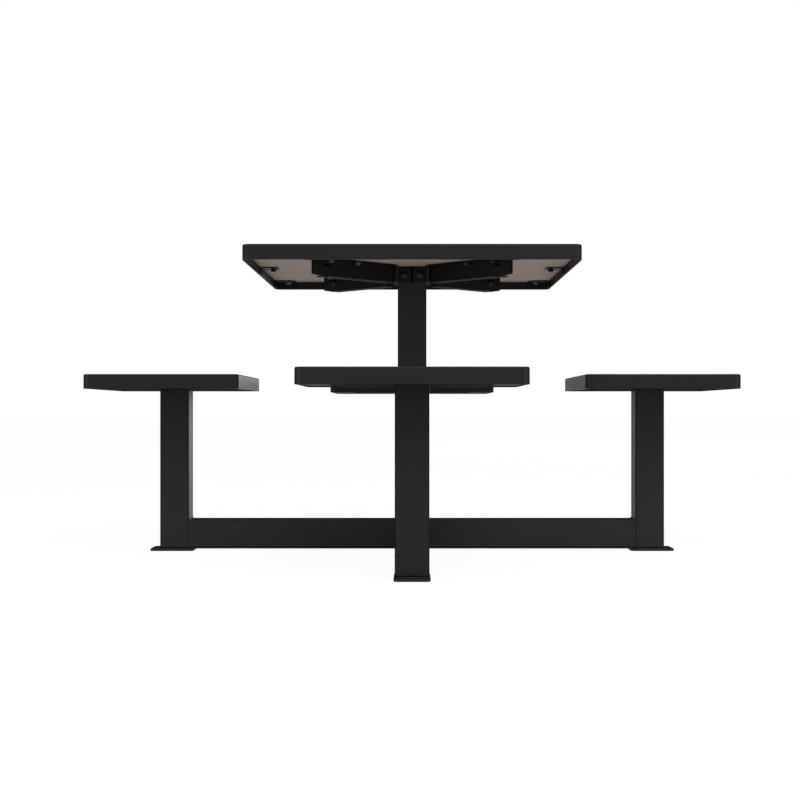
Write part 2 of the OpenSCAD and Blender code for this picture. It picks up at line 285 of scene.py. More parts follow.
@dataclass(frozen=True)
class RootFold:
    """Painted light on the arms along their root folds: a pale line of painted highlight, and painted shade
    on the web beside it.

    The painted highlight and the painted shade follow each other outwards from the post's middle planes.
    """

    start: float = 37.6 * MM
    rubbed_end: float = 42.6 * MM
    grime_end: float = 51.0 * MM
    wear_size: float = 6.0 * MM
    wear_swing: float = 0.4
    rubbed_least: float = 0.7
    grime_least: float = 0.5
    # Colours of the painted highlight and the painted shade.
    rubbed: Colour = linear(64, 64, 61)
    grime: Colour = linear(14, 14, 12)

    def paint(self, shader: Shader, place: Value, face: Value) -> Value:
        """Paints the highlight and the shade over a coat.

        Args:
            shader: The material's shader.
            place: Position on the object.
            face: The coat's colour.

        Returns:
            The marked colour.
        """
        off_x, off_y, _ = shader.offsets(place)
        inner = off_x.smaller(off_y)
        fold_patches = shader.noise(place, self.wear_size) * self.wear_swing
        # Painted shade on the web beside the fold, then a painted highlight along the fold itself.
        web_shade = inner.between(self.rubbed_end, self.grime_end) * (self.grime_least + fold_patches)
        highlit = inner.between(self.start, self.rubbed_end) * (self.rubbed_least + fold_patches)
        return shader.blend(highlit, shader.blend(web_shade, face, self.grime), self.rubbed)


@dataclass(frozen=True)
class TubeShadeLines:
    """Painted shade in thin dark lines along the posts' corners, above their feet and low on the bars.

    A corner's line lies between two distances from its post's middle planes, the others between two heights.
    """

    corner: Span = (34.6 * MM, 38.2 * MM)
    foot: Span = (7.6 * MM, 10.4 * MM)
    bar: Span = (10.2 * MM, 12.6 * MM)
    corner_share: float = 0.6
    bar_share: float = 0.7
    patch_size: float = 12.0 * MM
    patch_least: float = 0.75
    patch_swing: float = 0.3
    dull: float = 0.95
    # Colour of the painted shade.
    colour: Colour = linear(8, 8, 8)

    def share(self, shader: Shader, place: Value) -> Value:
        """How much painted shade lies at a place.

        Args:
            shader: The material's shader.
            place: Position on the object.

        Returns:
            Its share, 0 to about 0.9.
        """
        off_x, off_y, height = shader.offsets(place)
        beside = off_x.smaller(off_y)
        out = off_x.larger(off_y)
        along = out.smaller(abs(out - REACH))
        on_bar = along.above(self.corner[1])
        # Painted shade along the corners, just above the feet, and low on the bars.
        upright = beside.between(*self.corner) * along.between(*self.corner) * height.above(self.foot[0])
        foot = height.between(*self.foot) * (1.0 - on_bar)
        bar = height.between(*self.bar) * on_bar * self.bar_share
        lines = (upright * self.corner_share).larger(foot).larger(bar)
        return lines * (self.patch_least + shader.noise(place, self.patch_size) * self.patch_swing)


@dataclass(frozen=True)
class PowderCoat:
    """Satin black powder coat: fine orange peel, faint clouding, and a trace of dust on what faces up.

    Its sheen is duller on what faces up and on sides seen at a slant, between the two spans of slant. It can
    carry painted light: a painted highlight and painted shade along the arms' root folds, and painted shade
    along the tubes and between the root flanges.
    """

    name: str
    slot: str
    colour: Colour = linear(29, 30, 33)
    dusty: Colour = linear(58, 57, 55)
    roughness: float = 0.4
    specular: float = 0.2
    sheen: float = 0.58
    peel_size: float = 3.2 * MM
    grain_size: float = 0.7 * MM
    speck_size: float = 2.2 * MM
    cloud_size: float = 160.0 * MM
    relief: float = 0.05 * MM
    dull_turn: float = 0.8
    dull_top: float = 0.6
    slant_from: Span = (0.2, 0.5)
    slant_to: Span = (0.65, 0.88)
    # Painted highlight and painted shade along the arms' root folds.
    root_fold: RootFold | None = None
    # Painted shade in thin lines along the tubes.
    grime: TubeShadeLines | None = None
    # Painted shade in the gap between the arms' root flanges, from a given height up.
    gap_half: float = 0.0
    gap_from: float = 700.0 * MM
    gap_tone: float = 0.15
    gap_dull: float = 0.9
    cloud_tone: float = 1.35
    cloud_share: float = 0.35
    cloud_sheen: float = 0.08
    cloud_rough: float = 0.06
    grain_rough: float = 0.08
    dust_share: float = 0.5
    dust_rough: float = 0.3
    bump: float = 0.6

    def _marked(self, shader: Shader, place: Value, face: Value, share: Value) -> tuple[Value, Value]:
        """Adds the coat's painted light: a painted highlight and shade along the root folds, painted shade
        along the tubes, and painted shade between the arms' root flanges.

        Args:
            shader: The material's shader.
            place: Position on the object.
            face: The coat's colour.
            share: Share of its sheen.

        Returns:
            The marked colour, and the share that is left.
        """
        # Painted highlight and painted shade along the root folds.
        if self.root_fold:
            face = self.root_fold.paint(shader, place, face)
        # Painted shade along the tubes: a darker colour and a duller sheen.
        if self.grime:
            dark = self.grime.share(shader, place)
            face = shader.blend(dark, face, self.grime.colour)
            share = share * (1.0 - dark * self.grime.dull)
        # Painted shade in the gap between the root flanges: a darker colour and a duller sheen.
        if self.gap_half:
            off_x, off_y, height = shader.offsets(place)
            gap_shade = off_x.smaller(off_y).below(self.gap_half) * height.above(self.gap_from)
            face = shader.blend(gap_shade, face, tuple(self.gap_tone * c for c in self.colour))
            share = share * (1.0 - gap_shade * self.gap_dull)
        return face, share

    def finish(self) -> Finish:
        """Builds the material.

        Returns:
            The finish.
        """
        material, shader = new_material(self.name)
        place = shader.place()
        peel = shader.noise(place, self.peel_size, 1.0)
        grain = shader.noise(place, self.grain_size, 1.0)
        cloud = shader.noise(place, self.cloud_size, 3.0)
        specks = shader.noise(place, self.speck_size)
        geometry = shader.node("ShaderNodeNewGeometry")
        up = shader.axes(shader.out(geometry, "Normal"))[2].larger(0.0)
        dust = up * specks ** 2.0 * cloud * self.dust_share
        paler = tuple(self.cloud_tone * c for c in self.colour)
        lifted = shader.blend(cloud * self.cloud_share, self.colour, paler)
        tilt = shader.out(shader.node("ShaderNodeLayerWeight"), "Facing")
        oblique = shader.rise(tilt, *self.slant_from) * (1.0 - shader.rise(tilt, *self.slant_to))
        turned = oblique * (1.0 - up) * self.dull_turn
        uneven = self.sheen + (cloud - 0.5) * self.cloud_sheen
        sheen = uneven * (1.0 - up * self.dull_top) * (1.0 - turned)
        face, share = self._marked(shader, place, shader.blend(dust, lifted, self.dusty), sheen)
        bent = shader.bump(peel * 0.7 + grain * 0.3, self.relief, self.bump)
        mottled = self.roughness + (grain - 0.5) * self.grain_rough + (cloud - 0.5) * self.cloud_rough
        rough = mottled + dust * self.dust_rough
        dull, satin = (
            shader.node("ShaderNodeBsdfPrincipled", {}, {
                "Base Color": face, "Roughness": roughness, "Specular IOR Level": specular, "Normal": bent})
            for roughness, specular in ((1.0, 0.0), (rough, self.specular)))
        shader.close(shader.mix(share, dull, satin))
        return Finish(material, self.slot)


@dataclass(frozen=True)
class BackerBoard:
    """Taupe backing board: a dull, slightly mottled face with faint fibres and darker flecks."""

    name: str = "taupe_backer_board"
    slot: str = "board"
    colour: Colour = linear(196, 177, 164)
    darker: Colour = linear(177, 158, 145)
    fleck: Colour = linear(146, 128, 116)
    roughness: float = 0.62
    specular: float = 0.12
    mottle_size: float = 90.0 * MM
    fibre_size: float = 18.0 * MM
    fibre_stretch: float = 14.0
    fleck_size: float = 1.6 * MM
    fleck_span: Span = (0.64, 0.74)
    fleck_share: float = 0.25
    fibre_rough: float = 0.2
    relief: float = 0.12 * MM
    bump: float = 0.5

    def finish(self) -> Finish:
        """Builds the material.

        Returns:
            The finish.
        """
        material, shader = new_material(self.name)
        place = shader.place()
        mottle = shader.noise(place, self.mottle_size, 4.0)
        long = self.fibre_stretch
        along = shader.noise(shader.stretched(place, (1.0, long, long)), self.fibre_size, 3.0)
        across = shader.noise(shader.stretched(place, (long, 1.0, long)), self.fibre_size, 3.0)
        fibre = (along + across) * 0.5
        flecks = shader.noise(place, self.fleck_size, 1.0)
        stops = tuple(zip(self.fleck_span, ((0.0, 0.0, 0.0), (1.0, 1.0, 1.0))))
        ramp = shader.node("ShaderNodeValToRGB", {"stops": stops}, {"Fac": flecks})
        face = shader.blend(mottle * 0.7 + fibre * 0.3, self.darker, self.colour)
        principled = shader.node("ShaderNodeBsdfPrincipled", {}, {
            "Base Color": shader.blend(shader.out(ramp) * self.fleck_share, face, self.fleck),
            "Roughness": self.roughness + (fibre - 0.5) * self.fibre_rough,
            "Specular IOR Level": self.specular,
            "Normal": shader.bump(fibre * 0.6 + flecks * 0.4, self.relief, self.bump),
        })
        shader.close(principled)
        return Finish(material, self.slot)


@dataclass(frozen=True)
class PlatedSteel:
    """Zinc or black plating on a fastener: metal with fine turning marks and uneven gloss.

    With a paint colour, the fasteners on the right of the table are painted over.
    """

    name: str
    slot: str
    colour: Colour = (0.2, 0.2, 0.2)
    stain: Colour = (0.1, 0.1, 0.098)
    roughness: float = 0.5
    metallic: float = 1.0
    patch_size: float = 3.5 * MM
    mark_size: float = 1.2 * MM
    mark_stretch: float = 9.0
    patch_rough: float = 0.2
    mark_rough: float = 0.1
    relief: float = 0.03 * MM
    bump: float = 0.5
    paint: Colour | None = None
    paint_least: float = 0.9

    def finish(self) -> Finish:
        """Builds the material.

        Returns:
            The finish.
        """
        material, shader = new_material(self.name)
        place = shader.place()
        patches = shader.noise(place, self.patch_size, 3.0)
        marks = shader.noise(shader.stretched(place, (1.0, 1.0, self.mark_stretch)), self.mark_size)
        face = shader.blend(patches, self.stain, self.colour)
        metallic = self.metallic
        if self.paint:
            painted = shader.axes(place)[0].above(0.0)
            cover = self.paint_least + patches * (1.0 - self.paint_least)
            face = shader.blend(painted * cover, face, self.paint)
            metallic = (1.0 - painted) * self.metallic
        uneven = (patches - 0.5) * self.patch_rough + (marks - 0.5) * self.mark_rough
        principled = shader.node("ShaderNodeBsdfPrincipled", {}, {
            "Base Color": face,
            "Metallic": metallic,
            "Roughness": self.roughness + uneven,
            "Normal": shader.bump(marks, self.relief, self.bump),
        })
        shader.close(principled)
        return Finish(material, self.slot)


class Finishes:
    """Every finish of the table."""

    def __init__(self) -> None:
        """Builds all the finishes."""
        self.shell = PowderCoat("shell_powder_coat", "shell_coat", dull_top=0.25).finish()
        # The tube coat carries painted shade along the tubes and in the gap between the arms' root flanges.
        self.frame = PowderCoat(
            "tube_powder_coat", "frame_coat", colour=linear(38, 39, 40), sheen=0.48, dull_top=0.95,
            grime=TubeShadeLines(), gap_half=2.6 * MM).finish()
        # The front post's coat is a darker, duller copy of the tube coat: painted shade under the front seat.
        self.front = PowderCoat(
            "front_powder_coat", "frame_coat", colour=linear(34, 35, 36), sheen=0.44,
            grime=TubeShadeLines()).finish()
        self.under = PowderCoat(
            "under_powder_coat", "frame_coat", colour=linear(26, 27, 27), sheen=0.06).finish()
        # The arms' coat carries a painted highlight and painted shade along their root folds.
        self.arm = PowderCoat(
            "arm_powder_coat", "arm_coat", colour=linear(29, 29, 26), dusty=linear(46, 45, 43), sheen=0.4,
            root_fold=RootFold()).finish()
        self.weld = PowderCoat("weld_powder_coat", "frame_coat", roughness=0.34, relief=0.12 * MM).finish()
        self.board = BackerBoard().finish()
        self.seat_board = PowderCoat(
            "black_board_paint", "seat_board", colour=linear(30, 31, 31), sheen=0.3,
            peel_size=5.0 * MM).finish()
        self.zinc = PlatedSteel("dull_zinc", "zinc").finish()
        self.part_painted = PlatedSteel("part_painted_zinc", "zinc", paint=linear(15, 15, 13)).finish()
        self.black = PlatedSteel(
            "black_plating", "black_fastener", colour=(0.016, 0.016, 0.016), stain=(0.008, 0.008, 0.008),
            metallic=0.9).finish()
        # A lighter copy of the black plating, for the bolts through the root flanges.
        self.worn_black = PlatedSteel(
            "worn_black_plating", "black_fastener", colour=(0.034, 0.034, 0.035),
            stain=(0.017, 0.017, 0.017), roughness=0.45, metallic=0.9).finish()


def show(name: str, data: bpy.types.ID) -> bpy.types.Object:
    """Puts data into the scene as an object.

    Args:
        name: The object's name.
        data: Its mesh, curve, camera or lamp.

    Returns:
        The object.
    """
    shown = bpy.data.objects.new(name, data)
    bpy.context.scene.collection.objects.link(shown)
    return shown


def even_normals(piece: bpy.types.Object) -> None:
    """Keeps large flat faces flat beside their rounded edges.

    Args:
        piece: The piece or node.
    """
    normals = piece.modifiers.new("even_normals", "WEIGHTED_NORMAL")
    normals.keep_sharp = True
    normals.weight = 100


def add_piece(name: str, bm: BMesh, finish: Finish, nodes: Sequence[str] = ()) -> bpy.types.Object:
    """Makes a finished mesh a piece of the table.

    Args:
        name: The piece's name.
        bm: Its mesh, which is freed.
        finish: Its finish.
        nodes: The CAD nodes that it stands for.

    Returns:
        The piece.
    """
    data = bpy.data.meshes.new(name)
    bm.to_mesh(data)
    bm.free()
    data.materials.append(finish.material)
    data.shade_smooth()
    data.set_sharp_from_angle(angle=SHARP)
    piece = show(name, data)
    even_normals(piece)
    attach(piece, BODY)
    if nodes:
        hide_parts(*nodes)
    LOG.info("piece %s: %d faces", name, len(data.polygons))
    return piece


def rounded(bm: BMesh, edges: Iterable[BMEdge], offset: float, segments: int) -> None:
    """Rounds edges with an even arc that starts at an offset from each edge."""
    bmesh.ops.bevel(bm, geom=list(edges), offset=offset, offset_type="OFFSET", segments=segments,
                    profile=0.5, affect="EDGES", clamp_overlap=False, material=-1)


def level_edges(bm: BMesh, *heights: float) -> list[BMEdge]:
    """Finds the edges that reach from one height to another, or lie level where both are the same.

    Args:
        bm: The mesh.
        heights: Height of an edge's lower end, then of its upper end.

    Returns:
        The edges.
    """
    bm.normal_update()
    return [e for e in bm.edges
            if all(abs(v.co.z - z) < NEAR for v, z in zip(sorted(e.verts, key=lambda v: v.co.z), heights))]


def level(face: BMFace) -> float:
    """Height of a face's middle."""
    return face.calc_center_median().z


def turned_to(direction: Vector) -> Matrix:
    """Rotation that takes +Z to a direction."""
    return Vector((0, 0, 1)).rotation_difference(direction).to_matrix().to_4x4()


def outward(bm: BMesh) -> None:
    """Closes seams and poles, and turns every face outwards.

    Args:
        bm: The mesh.
    """
    bmesh.ops.remove_doubles(bm, verts=bm.verts, dist=MERGE)
    bmesh.ops.dissolve_degenerate(bm, edges=bm.edges, dist=MERGE)
    bmesh.ops.recalc_face_normals(bm, faces=bm.faces)


def revolve(bm: BMesh, profile: Sequence[Span], steps: int) -> None:
    """Adds a round solid about the Z axis.

    Args:
        bm: The mesh.
        profile: Radius and height of each point of its outline, from pole to pole.
        steps: Steps round the axis.
    """
    points = [bm.verts.new((radius, 0.0, height)) for radius, height in profile]
    line = [bm.edges.new(pair) for pair in zip(points, points[1:])]
    bmesh.ops.spin(bm, geom=points + line, cent=(0, 0, 0), axis=(0, 0, 1), dvec=(0, 0, 0),
                   angle=math.tau, steps=steps, use_merge=True, use_duplicate=False)


def solids(node: bpy.types.Object) -> list[tuple[Vector, Vector]]:
    """Finds the separate solids of a CAD node.

    Args:
        node: The node.

    Returns:
        Lowest and highest corner of each solid.
    """
    bm = bmesh.new()
    bm.from_mesh(node.data)
    bmesh.ops.remove_doubles(bm, verts=bm.verts, dist=MERGE)
    left = set(bm.verts)
    boxes = []
    while left:
        found = {left.pop()}
        rim = set(found)
        while rim:
            rim = {e.other_vert(v) for v in rim for e in v.link_edges} - found
            found |= rim
        left -= found
        places = [v.co for v in found]
        boxes.append(tuple(Vector(map(end, zip(*places))) for end in (min, max)))
    bm.free()
    return sorted(boxes, key=lambda corners: tuple(round(c, 4) for c in corners[0]))


def soften(piece: bpy.types.Object, width: float, degrees: float = 40.0) -> None:
    """Rounds the sharp edges of a piece or a CAD node with modifiers, and leaves its mesh alone.

    Args:
        piece: The piece or node.
        width: Width of the rounding.
        degrees: Edges that turn more than this are rounded.
    """
    for old in list(piece.modifiers):
        piece.modifiers.remove(old)
    weld = piece.modifiers.new("weld", "WELD")
    weld.merge_threshold = MERGE
    flat = piece.modifiers.new("flat_faces", "DECIMATE")
    flat.decimate_type = "DISSOLVE"
    flat.angle_limit = FLAT
    edges = piece.modifiers.new("rounded_edges", "BEVEL")
    edges.limit_method = "ANGLE"
    edges.angle_limit = math.radians(degrees)
    edges.width = width
    edges.segments = 2
    even_normals(piece)


@dataclass(frozen=True)
class PressedShell:
    """Pressed sheet pan, open below, that covers the table or a seat."""

    node: str
    piece: str
    sheet: float = 3.0 * MM
    corner: float = 20.0 * MM
    fold: float = 3.6 * MM
    inner_fold: float = 0.8 * MM
    cut: float = 0.5 * MM
    corner_steps: int = 16
    fold_steps: int = 6
    cut_steps: int = 2

    def build(self, finish: Finish) -> None:
        """Builds the shell.

        Args:
            finish: The shell's finish.
        """
        low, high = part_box(self.node)
        size = high - low
        place = Matrix.Translation((low + high) / 2) @ Matrix.Diagonal((*size, 1.0))
        bm = bmesh.new()
        bmesh.ops.create_cube(bm, size=1.0, matrix=place)
        rounded(bm, level_edges(bm, low.z, high.z), self.corner, self.corner_steps)
        rounded(bm, level_edges(bm, high.z, high.z), self.fold, self.fold_steps)
        under = min(bm.faces, key=level)
        bmesh.ops.inset_region(bm, faces=[under], thickness=self.sheet, use_even_offset=True)
        ceiling = bmesh.ops.extrude_discrete_faces(bm, faces=[under])["faces"][0]
        bmesh.ops.translate(bm, vec=(0, 0, size.z - self.sheet), verts=ceiling.verts)
        rounded(bm, ceiling.edges, self.inner_fold, self.cut_steps)
        lip = [e for e in level_edges(bm, low.z, low.z) if any(abs(f.normal.z) < 0.5 for f in e.link_faces)]
        rounded(bm, lip, self.cut, self.cut_steps)
        outward(bm)
        add_piece(self.piece, bm, finish, [self.node])


@dataclass(frozen=True)
class Arms:
    """The four diagonal arms, each of two pressed plates with lips, bolted to the centre post."""

    direction: float = math.radians(45)
    top: float = 742.0 * MM
    sheet: float = 3.0 * MM
    height: float = 45.0 * MM
    length: float = 294.0 * MM
    offset: float = 1.5 * MM
    top_lip: float = 28.0 * MM
    bottom_lip: float = 10.0 * MM
    lip_start: float = 30.0 * MM
    tip_rise: float = 6.0 * MM
    tip_run: float = 38.0 * MM
    root_drop: float = 3.0 * MM
    root_rise: float = 3.0 * MM
    root_gap: float = 5.0 * MM
    root_flat: float = 1.0 * MM
    fold: float = 4.5 * MM
    fold_steps: int = 6
    root_steps: int = 5
    notch: float = 3.0 * MM
    notch_spare: float = 0.5 * MM
    notch_depth: float = 6.0 * MM
    cut: float = 0.35 * MM
    cut_degrees: float = 50.0
    tie_at: float = 250.0 * MM
    tie_drop: float = 21.0 * MM

    @property
    def fold_x(self) -> float:
        """Place of the fold between root flange and web, along the post's face."""
        return TUBE_HALF - self.offset * math.sqrt(2)

    @property
    def lip_end(self) -> float:
        """Where the bottom lip ends, along the web."""
        return self.length - self.tip_run - self.sheet

    @property
    def tie_half(self) -> float:
        """Distance from an arm's middle line to the outside of its plates."""
        return self.offset + self.sheet

    def _web(self, bm: BMesh) -> None:
        """Adds the flat web, with relief notches where its lips end.

        Args:
            bm: The mesh.
        """
        after = self.lip_end + self.notch + self.notch_spare
        rise = (after - (self.length - self.tip_run)) * self.tip_rise / self.tip_run
        deep = self.notch_depth
        low = self.root_rise
        before = self.lip_start - self.notch
        outline = [
            (0, low), (before, low), (before, deep), (self.lip_start, deep), (self.lip_start, 0),
            (self.lip_end, 0), (self.lip_end, deep), (after, deep), (after, rise),
            (self.length, self.tip_rise), (self.length, self.height), (self.lip_start, self.height),
            (self.lip_start, self.height - deep), (before, self.height - deep), (before, self.height),
            (0, self.height),
        ]
        bm.faces.new([bm.verts.new((along, 0.0, up)) for along, up in outline])

    def _edge(self, bm: BMesh, *ends: Triple) -> BMEdge:
        """Finds the edge whose ends lie at two places."""
        places = [Vector(end) for end in ends]
        return min(bm.edges, key=lambda e: sum(min((v.co - p).length for v in e.verts) for p in places))

    def _pull(self, bm: BMesh, edge: BMEdge, by: Vector) -> BMEdge:
        """Extrudes an edge into a strip.

        Args:
            bm: The mesh.
            edge: The edge.
            by: How far it is pulled.

        Returns:
            The strip's far edge.
        """
        made = bmesh.ops.extrude_edge_only(bm, edges=[edge])["geom"]
        bmesh.ops.translate(bm, vec=by, verts=[v for v in made if isinstance(v, bmesh.types.BMVert)])
        return next(e for e in made if isinstance(e, BMEdge) and len(e.link_faces) == 1
                    and all(v in made for v in e.verts))

    def _flange(self, bm: BMesh) -> None:
        """Pulls the root flange out of the web; past the fold its top is lower than the web's.

        Args:
            bm: The mesh.
        """
        root = self._edge(bm, (0, 0, self.root_rise), (0, 0, self.height))
        way = Vector((-math.cos(self.direction), math.sin(self.direction), 0))
        step = self.sheet * math.tan(self.direction / 2) + self.root_flat
        far = self._pull(bm, root, way * step)
        lower = min(far.verts, key=lambda v: v.co.z)
        tall = self.height - self.root_rise
        bmesh.utils.edge_split(far, lower, (tall - self.root_drop) / tall)
        upright = next(e for e in lower.link_edges if abs(e.verts[0].co.z - e.verts[1].co.z) > tall / 2)
        self._pull(bm, upright, way * (self.fold_x - step - self.root_gap / 2))

    def plate(self) -> BMesh:
        """Builds the plate that is bolted to the +Y face of the post, in the +X +Y corner.

        Returns:
            The plate's mesh, in place.
        """
        bm = bmesh.new()
        self._web(bm)
        top_fold = self._edge(bm, (self.lip_start, 0, self.height), (self.length, 0, self.height))
        low_fold = self._edge(bm, (self.lip_start, 0, 0), (self.lip_end, 0, 0))
        for fold, lip in ((top_fold, self.top_lip), (low_fold, self.bottom_lip)):
            self._pull(bm, fold, Vector((0, self.sheet + lip, 0)))
        self._flange(bm)
        bmesh.ops.recalc_face_normals(bm, faces=bm.faces)
        web = max(bm.faces, key=lambda f: f.calc_area())
        if web.normal.y > 0:
            bmesh.ops.reverse_faces(bm, faces=bm.faces)
        rounded(bm, [top_fold, low_fold], self.fold, self.fold_steps)
        root = [e for e in bm.edges if not e.is_boundary and all(v.co.xy.length < NEAR for v in e.verts)]
        rounded(bm, root, self.fold * math.tan(self.direction / 2), self.root_steps)
        bmesh.ops.solidify(bm, geom=bm.faces, thickness=self.sheet)
        outward(bm)
        place = Matrix.Translation((self.fold_x, TUBE_HALF, self.top - self.height))
        bm.transform(place @ Matrix.Rotation(self.direction, 4, "Z"))
        return bm

    def build(self, finish: Finish) -> None:
        """Builds all eight plates: at each corner one on the post's front or back face, and one on its side.

        Args:
            finish: The plates' finish.
        """
        swap = Matrix(((0, 1, 0, 0), (1, 0, 0, 0), (0, 0, 1, 0), (0, 0, 0, 1)))
        for corner in Corner:
            face = corner.word.split("_")[0]
            for word, turn in ((face, Matrix.Identity(4)), ("side", swap)):
                bm = self.plate()
                bm.transform(corner.flip @ turn)
                outward(bm)
                node = f"{corner.word}_arm_{word}_plate"
                piece = add_piece(f"pressed_{node}", bm, finish, [node])
                soften(piece, self.cut, self.cut_degrees)

    def tie_place(self, corner: Corner) -> Matrix:
        """Place of a tie bolt on its arm's middle line, with +Z towards the front.

        Args:
            corner: The arm's corner.

        Returns:
            The place.
        """
        out = (TUBE_HALF + self.fold_x) / math.sqrt(2) + self.tie_at
        along = Vector((*corner.value, 0)).normalized()
        across = Vector((along.y, -along.x, 0))
        if across.y > 0:
            across = -across
        up = Vector((0, 0, self.top - self.tie_drop))
        return Matrix.Translation(along * out + up) @ turned_to(across)


@dataclass(frozen=True)
class Fasteners:
    """Bolts, nuts and screws, built finely and put where the frame's plain solids are.

    A dimple is given by the width of its rim and of its wall and by its depth, and the seat screws' socket by
    the radius and height of its points.
    """

    nodes: dict[str, bpy.types.Object]
    arms: Arms
    dome_d: float = 20.0 * MM
    dome_h: float = 4.4 * MM
    dome_edge: float = 0.7 * MM
    dome_steps: int = 8
    bolt_d: float = 8.0 * MM
    bolt_tip: float = 0.8 * MM
    root_bolt_l: float = 13.5 * MM
    tie_tail: float = 1.0 * MM
    flange_d: float = 18.0 * MM
    flange_t: float = 1.5 * MM
    hex_w: float = 13.0 * MM
    hex_h: float = 5.5 * MM
    hex_chamfer: float = 0.7 * MM
    hex_dimple: Triple = (1.4 * MM, 0.9 * MM, 0.8 * MM)
    screw_d: float = 5.0 * MM
    screw_l: float = 8.0 * MM
    nut_w: float = 13.0 * MM
    nut_t: float = 6.5 * MM
    nut_chamfer: float = 0.6 * MM
    nut_dimple: Triple = (1.5 * MM, 0.7 * MM, 0.6 * MM)
    sunk_d: float = 10.0 * MM
    socket: tuple[Span, ...] = ((2.2 * MM, 0.0), (2.0 * MM, 0.3 * MM), (1.9 * MM, 1.9 * MM), (0.0, 2.3 * MM))
    plate_t: float = 3.0 * MM
    turn_step: float = math.radians(23.0)
    chamfer_steps: int = 3
    dome_round: int = 32
    flange_round: int = 28
    sunk_round: int = 24

    def _hexagon(self, bm: BMesh, width: float, low: float, high: float, chamfer: float) -> None:
        """Adds a hexagon with its end edges chamfered.

        Args:
            bm: The mesh.
            width: Width across its flats.
            low: Height of its lower end.
            high: Height of its upper end.
            chamfer: Size of the chamfer.
        """
        place = Matrix.Translation((0, 0, (low + high) / 2))
        radius = width / 2 / math.cos(math.radians(30))
        made = set(bmesh.ops.create_cone(bm, cap_ends=True, segments=6, radius1=radius, radius2=radius,
                                         depth=high - low, matrix=place)["verts"])
        ends = [e for e in bm.edges if made.issuperset(e.verts)
                and abs(e.verts[0].co.z - e.verts[1].co.z) < NEAR]
        rounded(bm, ends, chamfer, self.chamfer_steps)

    def _dimple(self, bm: BMesh, end: BMFace, rim: float, wall: float, depth: float) -> None:
        """Sinks the middle of an end face, inside a flat rim and a sloping wall."""
        bmesh.ops.inset_region(bm, faces=[end], thickness=rim, depth=0.0)
        bmesh.ops.inset_region(bm, faces=[end], thickness=wall, depth=-depth)

    def dome_bolt(self, length: float) -> BMesh:
        """Builds a coach bolt with its domed head on z = 0.

        Args:
            length: Length of its shank below z = 0.

        Returns:
            The bolt's mesh.
        """
        bm = bmesh.new()
        radius = self.dome_d / 2
        edge = self.dome_edge
        rise = self.dome_h - edge
        ball = (radius * radius + rise * rise) / (2 * rise)
        spread = math.asin(radius / ball)
        angles = [spread * k / self.dome_steps for k in range(self.dome_steps + 1)]
        arc = [(ball * math.sin(a), self.dome_h - ball + ball * math.cos(a)) for a in angles]
        half = self.bolt_d / 2
        tip = self.bolt_tip
        below = [(radius, edge / 2), (radius - 0.3 * MM, 0.0), (half, 0.0), (half, -length + tip),
                 (half - tip, -length), (0.0, -length)]
        revolve(bm, arc + below, self.dome_round)
        outward(bm)
        return bm

    def flange_screw(self) -> BMesh:
        """Builds a screw whose flange seats on z = 0 from below.

        Returns:
            The screw's mesh.
        """
        bm = bmesh.new()
        radius = self.flange_d / 2
        neck = self.hex_w / 2
        foot = self.flange_t
        shank = self.screw_d / 2
        profile = [(0.0, self.screw_l), (shank, self.screw_l - shank), (shank, 0.0), (radius - 0.2 * MM, 0.0),
                   (radius, -0.25 * MM), (radius - 0.1 * MM, -0.7 * MM), (neck + 0.3 * MM, -foot),
                   (neck, -foot - 0.4 * MM), (0.0, -foot - 0.4 * MM)]
        revolve(bm, profile, self.flange_round)
        self._hexagon(bm, self.hex_w, -foot - self.hex_h, -foot, self.hex_chamfer)
        outward(bm)
        self._dimple(bm, min(bm.faces, key=level), *self.hex_dimple)
        return bm

    def nut(self) -> BMesh:
        """Builds a nut that stands on z = 0.

        Returns:
            The nut's mesh.
        """
        bm = bmesh.new()
        self._hexagon(bm, self.nut_w, 0.0, self.nut_t, self.nut_chamfer)
        outward(bm)
        for end in (min(bm.faces, key=level), max(bm.faces, key=level)):
            self._dimple(bm, end, *self.nut_dimple)
        return bm

    def sunk_screw(self) -> BMesh:
        """Builds a countersunk screw with its head flush at z = 0 and its shank up.

        Returns:
            The screw's mesh.
        """
        bm = bmesh.new()
        radius = self.sunk_d / 2
        shank = self.screw_d / 2
        top = self.plate_t + self.screw_l
        profile = [(0.0, top), (shank, top - shank), (shank, self.plate_t), (radius - 0.1 * MM, 0.2 * MM),
                   (radius - 0.25 * MM, 0.0), *self.socket]
        revolve(bm, profile, self.sunk_round)
        outward(bm)
        return bm

    def _spread(self, name: str, model: BMesh, places: Iterable[Matrix], finish: Finish) -> None:
        """Puts a copy of one fastener at each place, as one piece that stands for its node.

        Args:
            name: The node's name.
            model: One fastener, which is freed.
            places: Where the copies go.
            finish: Their finish.
        """
        data = bpy.data.meshes.new("model")
        model.to_mesh(data)
        model.free()
        bm = bmesh.new()
        for place in places:
            before = len(bm.verts)
            bm.from_mesh(data)
            bm.verts.ensure_lookup_table()
            bmesh.ops.transform(bm, matrix=place, verts=bm.verts[before:])
        bpy.data.meshes.remove(data)
        bmesh.ops.recalc_face_normals(bm, faces=bm.faces)
        add_piece(f"fine_{name}", bm, finish, [name])

    def _upright(self, node: str, lift: float) -> list[Matrix]:
        """Places of a node's upright screws.

        Args:
            node: The node's name.
            lift: Height of the seating face above the head's lowest point.

        Returns:
            One place for each screw, each turned a little differently.
        """
        places = []
        for count, (low, high) in enumerate(solids(self.nodes[node])):
            middle = (low + high) / 2
            turn = Matrix.Rotation(self.turn_step * count, 4, "Z")
            places.append(Matrix.Translation((middle.x, middle.y, low.z + lift)) @ turn)
        return places

